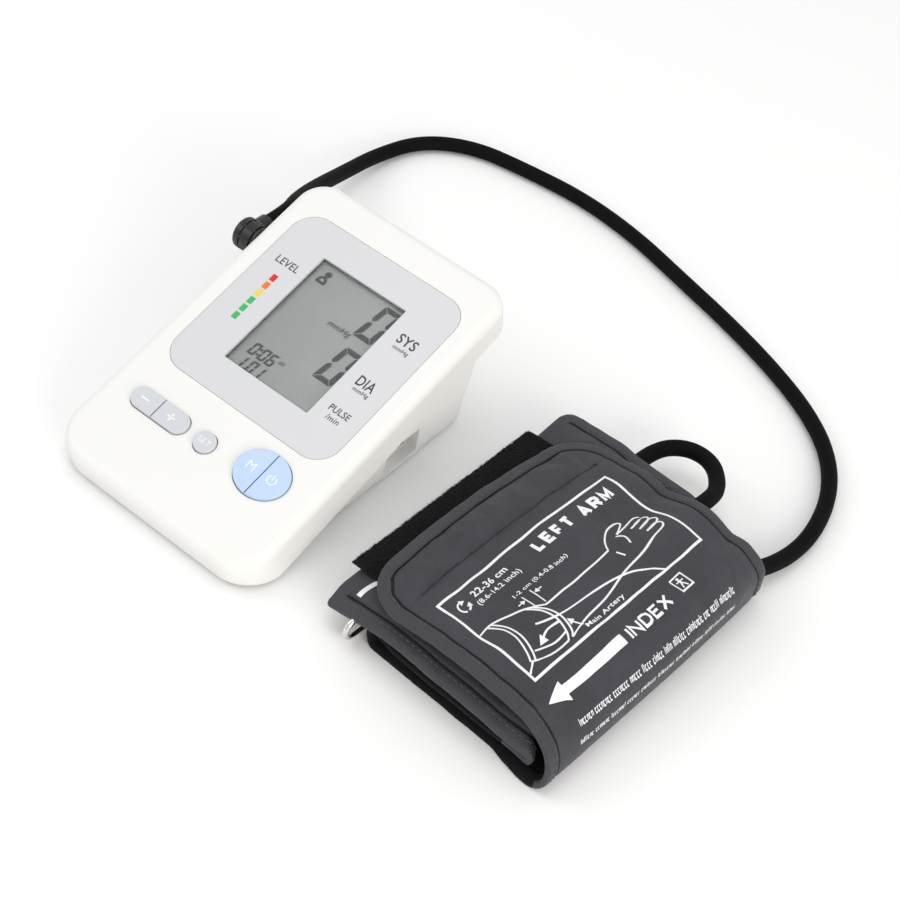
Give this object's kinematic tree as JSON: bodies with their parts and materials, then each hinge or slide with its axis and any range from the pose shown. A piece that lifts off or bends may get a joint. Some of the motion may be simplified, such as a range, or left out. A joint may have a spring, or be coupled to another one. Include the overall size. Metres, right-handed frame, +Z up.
{
  "type": "upper arm blood pressure monitor",
  "caption": "Wedge-shaped desktop blood pressure monitor with a tilted display and touch keys, joined by an air tube to a folded fabric arm cuff with bladder, hook strip and ring.",
  "frame": {"origin": "on the table under the centre line of the monitor, 15.5 mm in front of the middle of its display panel", "axes": "+X across the monitor towards the cuff, +Y from the keys towards the back of the monitor, +Z up from the table"},
  "size_m": [0.2885, 0.3038, 0.0631],
  "materials": {
    "case_white": "fine satin moulding",
    "panel_grey": "smooth satin label",
    "lens_clear": "polished clear window",
    "lcd_grey": "grey-green liquid crystal",
    "holder_white": "plain moulding",
    "zebra_rubber": "soft silicone",
    "key_grey": "satin moulding",
    "key_blue": "satin translucent moulding",
    "foot_rubber": "matte",
    "screw_steel": "nickel plated",
    "board_green": "solder-masked laminate",
    "part_black": "moulded",
    "motor_steel": "plated",
    "rotor_steel": "ground",
    "pump_cream": "moulded",
    "valve_brass": "turned",
    "inner_silicone": "translucent silicone",
    "cell_wrap": "shrink sleeve",
    "contact_nickel": "nickel plated",
    "plug_black": "moulded",
    "tube_rubber": "smooth black",
    "cuff_fabric": "dark grey woven nylon",
    "bladder_film": "welded film",
    "hook_black": "hook fastening tape",
    "loop_black": "napped loop fabric",
    "ring_chrome": "bright plated wire"
  },
  "bodies": {
    "monitor": {"upper_shell": "case_white", "lower_shell": "case_white", "case_screws": "screw_steel", "rubber_feet": "foot_rubber", "display_panel": "panel_grey", "window_lens": "lens_clear", "lcd_glass": "lcd_grey", "lcd_holder": "holder_white", "zebra_strips": "zebra_rubber", "main_board": "board_green", "tact_switches": "part_black", "controller_chips": "part_black", "buzzer": "part_black", "pressure_sensor": "part_black", "pump_motor": "motor_steel", "pump_head": "pump_cream", "air_manifold": "pump_cream", "exhaust_valve": "motor_steel", "inner_tubes": "inner_silicone", "air_socket": "part_black", "batteries": "cell_wrap", "battery_contacts": "contact_nickel", "battery_springs": "contact_nickel", "dc_jack": "part_black"},
    "cuff": {"air_plug": "plug_black", "air_tube": "tube_rubber", "tube_port": "tube_rubber", "cuff_cover": "cuff_fabric", "ring_sleeve": "cuff_fabric", "bladder": "bladder_film", "hook_strip": "hook_black", "loop_pad": "loop_black"},
    "key_minus": {"key_minus": "key_grey"},
    "key_plus": {"key_plus": "key_grey"},
    "key_set": {"key_set": "key_grey"},
    "key_memory": {"key_memory": "key_blue"},
    "key_start": {"key_start": "key_blue"},
    "pump_rotor": {"pump_rotor": "rotor_steel"},
    "valve_plunger": {"valve_plunger": "valve_brass"},
    "battery_cover": {"battery_cover": "case_white"},
    "cuff_ring": {"cuff_ring": "ring_chrome"}
  },
  "joints": [
    {"name": "key_minus_press", "type": "slide", "parent": "monitor", "child": "key_minus", "axis": [0, 0.309, -0.9511], "range_m": [0, 0.0006], "stiffness_N_per_m": 1500},
    {"name": "key_plus_press", "type": "slide", "parent": "monitor", "child": "key_plus", "axis": [0, 0.309, -0.9511], "range_m": [0, 0.0006], "stiffness_N_per_m": 1500},
    {"name": "key_set_press", "type": "slide", "parent": "monitor", "child": "key_set", "axis": [0, 0.309, -0.9511], "range_m": [0, 0.0006], "stiffness_N_per_m": 1500},
    {"name": "key_memory_press", "type": "slide", "parent": "monitor", "child": "key_memory", "axis": [0, 0.309, -0.9511], "range_m": [0, 0.0006], "stiffness_N_per_m": 1500},
    {"name": "key_start_press", "type": "slide", "parent": "monitor", "child": "key_start", "axis": [0, 0.309, -0.9511], "range_m": [0, 0.0006], "stiffness_N_per_m": 1500},
    {"name": "battery_cover_hinge", "type": "hinge", "parent": "monitor", "child": "battery_cover", "pos_m": [-0.013, -0.0202, 0.002], "axis": [-1, 0, 0], "range_deg": [0, 95]},
    {"name": "plug_pull", "type": "slide", "parent": "monitor", "child": "cuff", "axis": [-1, 0, 0], "range_m": [0, 0.012]},
    {"name": "cuff_ring_swing", "type": "hinge", "parent": "cuff", "child": "cuff_ring", "pos_m": [0.09347, -0.0049, 0.0116], "axis": [0.0523, 0.9986, 0], "range_deg": [-5, 55]},
    {"name": "pump_rotor_spin", "type": "hinge", "parent": "monitor", "child": "pump_rotor", "pos_m": [-0.0055, 0.048, 0.031], "axis": [1, 0, 0], "continuous": true},
    {"name": "valve_plunger_pull", "type": "slide", "parent": "monitor", "child": "valve_plunger", "axis": [0, 1, 0], "range_m": [0, 0.0008], "stiffness_N_per_m": 600}
  ]
}
